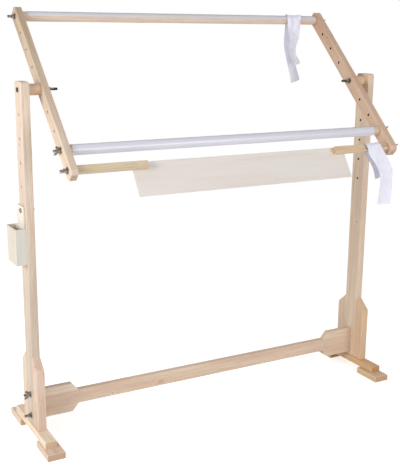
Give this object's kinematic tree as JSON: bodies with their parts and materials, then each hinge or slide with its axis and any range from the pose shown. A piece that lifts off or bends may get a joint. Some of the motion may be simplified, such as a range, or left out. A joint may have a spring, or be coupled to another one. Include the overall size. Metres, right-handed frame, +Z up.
{
  "type": "embroidery floor stand",
  "caption": "Wooden floor stand for embroidery: a frame with two fabric rollers and a chart shelf tilts between two posts on sledge feet, with wing nuts and a side pocket.",
  "frame": {"origin": "on the floor, midway between the two posts and under the posts' middle planes", "axes": "+Z up, +X to the right of the person who sits at the stand, +Y away from them"},
  "size_m": [0.9489, 0.3621, 0.9331],
  "materials": {
    "pine": "planed, unvarnished softwood",
    "dowel": "turned, unvarnished softwood",
    "pale_wood": "pale sanded board",
    "panel_board": "smooth pale board",
    "clip_plastic": "white satin",
    "ribbon_cloth": "white satin tape",
    "hardware_steel": "dull zinc-plated steel"
  },
  "bodies": {
    "stand": {"left_post": "pine", "right_post": "pine", "left_runner": "pine", "right_runner": "pine", "left_front_pad": "pine", "left_back_pad": "pine", "right_front_pad": "pine", "right_back_pad": "pine", "left_front_cheek": "pine", "left_back_cheek": "pine", "right_front_cheek": "pine", "right_back_cheek": "pine", "stretcher": "pine", "left_top_block": "pine", "left_bottom_block": "pine", "right_top_block": "pine", "right_bottom_block": "pine", "stretcher_studs": "hardware_steel", "stretcher_washers": "hardware_steel", "left_spacer": "pine", "right_spacer": "pine", "pivot_bolts": "hardware_steel", "pivot_washers": "hardware_steel", "pocket_back": "pale_wood", "pocket_front_wall": "pale_wood", "pocket_rear_wall": "pale_wood", "pocket_outer_wall": "pale_wood", "pocket_floor": "pale_wood", "pocket_bolt": "hardware_steel", "pocket_nut": "hardware_steel"},
    "frame": {"left_arm": "pine", "right_arm": "pine", "arm_washers": "hardware_steel"},
    "top_roller": {"top_roller": "dowel", "top_clip": "clip_plastic", "top_roller_studs": "hardware_steel"},
    "lower_roller": {"lower_roller": "dowel", "lower_clip": "clip_plastic", "lower_roller_studs": "hardware_steel"},
    "shelf": {"left_shelf_bar": "pine", "right_shelf_bar": "pine", "shelf_studs": "hardware_steel", "chart_panel": "panel_board", "panel_screws": "hardware_steel"},
    "left_pivot_nut": {"left_pivot_nut": "hardware_steel"},
    "left_top_nut": {"left_top_nut": "hardware_steel"},
    "left_lower_nut": {"left_lower_nut": "hardware_steel"},
    "left_shelf_nut": {"left_shelf_nut": "hardware_steel"},
    "left_high_brace_nut": {"left_high_brace_nut": "hardware_steel"},
    "left_low_brace_nut": {"left_low_brace_nut": "hardware_steel"},
    "right_pivot_nut": {"right_pivot_nut": "hardware_steel"},
    "right_top_nut": {"right_top_nut": "hardware_steel"},
    "right_lower_nut": {"right_lower_nut": "hardware_steel"},
    "right_shelf_nut": {"right_shelf_nut": "hardware_steel"},
    "right_high_brace_nut": {"right_high_brace_nut": "hardware_steel"},
    "right_low_brace_nut": {"right_low_brace_nut": "hardware_steel"},
    "upper_ribbon": {"upper_ribbon": "ribbon_cloth"},
    "lower_ribbon": {"lower_ribbon": "ribbon_cloth"}
  },
  "joints": [
    {"name": "frame_tilt", "type": "hinge", "parent": "stand", "child": "frame", "pos_m": [0, 0, 0.767], "axis": [1, 0, 0], "range_deg": [-43.6, 136.4]},
    {"name": "top_roller_turn", "type": "hinge", "parent": "frame", "child": "top_roller", "pos_m": [0, 0.15352, 0.9132], "axis": [1, 0, 0], "continuous": true},
    {"name": "lower_roller_turn", "type": "hinge", "parent": "frame", "child": "lower_roller", "pos_m": [0, -0.11732, 0.65528], "axis": [1, 0, 0], "continuous": true},
    {"name": "shelf_tilt", "type": "hinge", "parent": "frame", "child": "shelf", "pos_m": [0, -0.15352, 0.6208], "axis": [1, 0, 0], "range_deg": [-57, 90]},
    {"name": "left_pivot_nut_turn", "type": "hinge", "parent": "stand", "child": "left_pivot_nut", "pos_m": [0, 0, 0.767], "axis": [1, 0, 0], "continuous": true},
    {"name": "left_top_nut_turn", "type": "hinge", "parent": "top_roller", "child": "left_top_nut", "pos_m": [0, 0.15352, 0.9132], "axis": [1, 0, 0], "continuous": true},
    {"name": "left_lower_nut_turn", "type": "hinge", "parent": "lower_roller", "child": "left_lower_nut", "pos_m": [0, -0.11732, 0.65528], "axis": [1, 0, 0], "continuous": true},
    {"name": "left_shelf_nut_turn", "type": "hinge", "parent": "shelf", "child": "left_shelf_nut", "pos_m": [0, -0.15352, 0.6208], "axis": [1, 0, 0], "continuous": true},
    {"name": "left_high_brace_nut_turn", "type": "hinge", "parent": "stand", "child": "left_high_brace_nut", "pos_m": [0, 0, 0.1], "axis": [1, 0, 0], "continuous": true},
    {"name": "left_low_brace_nut_turn", "type": "hinge", "parent": "stand", "child": "left_low_brace_nut", "pos_m": [0, 0, 0.05], "axis": [1, 0, 0], "continuous": true},
    {"name": "right_pivot_nut_turn", "type": "hinge", "parent": "stand", "child": "right_pivot_nut", "pos_m": [0, 0, 0.767], "axis": [1, 0, 0], "continuous": true},
    {"name": "right_top_nut_turn", "type": "hinge", "parent": "top_roller", "child": "right_top_nut", "pos_m": [0, 0.15352, 0.9132], "axis": [1, 0, 0], "continuous": true},
    {"name": "right_lower_nut_turn", "type": "hinge", "parent": "lower_roller", "child": "right_lower_nut", "pos_m": [0, -0.11732, 0.65528], "axis": [1, 0, 0], "continuous": true},
    {"name": "right_shelf_nut_turn", "type": "hinge", "parent": "shelf", "child": "right_shelf_nut", "pos_m": [0, -0.15352, 0.6208], "axis": [1, 0, 0], "continuous": true},
    {"name": "right_high_brace_nut_turn", "type": "hinge", "parent": "stand", "child": "right_high_brace_nut", "pos_m": [0, 0, 0.1], "axis": [1, 0, 0], "continuous": true},
    {"name": "right_low_brace_nut_turn", "type": "hinge", "parent": "stand", "child": "right_low_brace_nut", "pos_m": [0, 0, 0.05], "axis": [1, 0, 0], "continuous": true},
    {"name": "upper_ribbon_hang", "type": "hinge", "parent": "frame", "child": "upper_ribbon", "pos_m": [0, 0.15352, 0.9132], "axis": [1, 0, 0], "range_deg": [-136.4, 43.6]},
    {"name": "lower_ribbon_hang", "type": "hinge", "parent": "frame", "child": "lower_ribbon", "pos_m": [0, -0.15352, 0.6208], "axis": [1, 0, 0], "range_deg": [-136.4, 43.6]}
  ],
  "couplings": [
    {"joint": "upper_ribbon_hang", "follows": "frame_tilt", "ratio": -1},
    {"joint": "lower_ribbon_hang", "follows": "frame_tilt", "ratio": -1}
  ]
}
